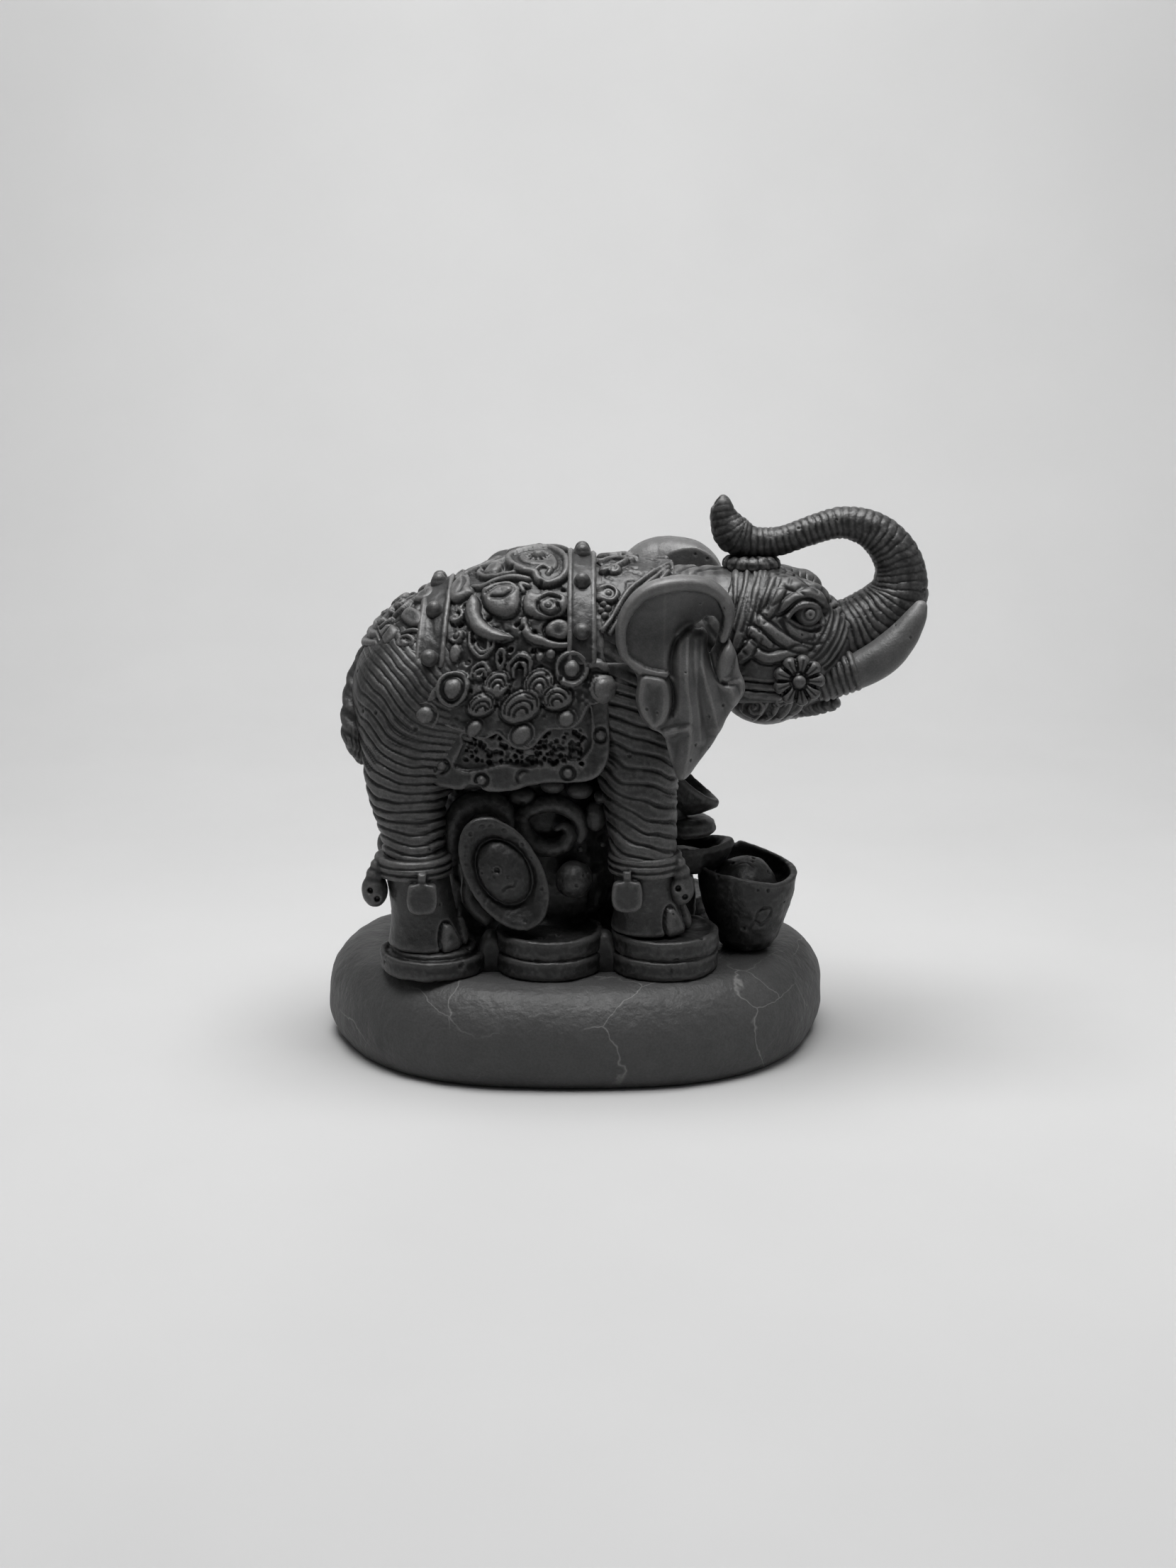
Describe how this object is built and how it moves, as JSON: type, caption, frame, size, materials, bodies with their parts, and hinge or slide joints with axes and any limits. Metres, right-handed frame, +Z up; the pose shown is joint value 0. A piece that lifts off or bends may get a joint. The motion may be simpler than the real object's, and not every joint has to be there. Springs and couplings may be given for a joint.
{
  "type": "elephant figurine",
  "caption": "Cast elephant with raised trunk, harness, coins, ingots and pearls, standing on a rounded stone plinth.",
  "frame": {"origin": "centre of the plinth's flat underside", "axes": "+X the way the elephant faces, +Y its left side, +Z up"},
  "size_m": [0.1474, 0.086, 0.1378],
  "materials": {
    "slate": "honed dark grey stone with thin pale veins",
    "cast_skin": "matt charcoal cast resin with pinholes and rubbed high spots",
    "cast_harness": "matt charcoal cast resin, rubbed paler on raised ornament",
    "cast_treasure": "matt charcoal cast resin, smooth with pinholes",
    "cast_polished": "smooth charcoal cast resin with a soft sheen"
  },
  "bodies": {
    "root": {"plinth": "slate", "coins_front_right": "cast_treasure", "coins_front_left": "cast_treasure", "coins_middle_right": "cast_treasure", "coins_middle_left": "cast_treasure", "coins_rear_right": "cast_treasure", "coins_rear_left": "cast_treasure", "leg_front_right": "cast_skin", "leg_front_left": "cast_skin", "leg_rear_right": "cast_skin", "leg_rear_left": "cast_skin", "anklet_front_right": "cast_harness", "anklet_front_left": "cast_harness", "anklet_rear_right": "cast_harness", "anklet_rear_left": "cast_harness", "body": "cast_skin", "tail": "cast_skin", "head": "cast_skin", "lower_lip": "cast_skin", "trunk": "cast_skin", "crown_pad": "cast_harness", "tusk_right": "cast_polished", "tusk_left": "cast_polished", "tusk_sheath_right": "cast_skin", "tusk_sheath_left": "cast_skin", "ear_right": "cast_skin", "ear_left": "cast_skin", "eye_right": "cast_skin", "eye_left": "cast_skin", "rosette_right": "cast_harness", "rosette_left": "cast_harness", "bridle_right": "cast_harness", "bridle_left": "cast_harness", "saddle_cloth": "cast_harness", "rump_cloth": "cast_harness", "neck_cloth": "cast_harness", "skirt_right": "cast_harness", "skirt_left": "cast_harness", "girth_front": "cast_harness", "girth_rear": "cast_harness", "girth_studs": "cast_harness", "back_pearl": "cast_treasure", "cloud_mass": "cast_treasure", "side_ingot_right": "cast_treasure", "side_ingot_left": "cast_treasure", "pearl_right": "cast_treasure", "pearl_left": "cast_treasure", "ingot_pile": "cast_treasure", "front_ingot": "cast_treasure"}
  },
  "joints": []
}
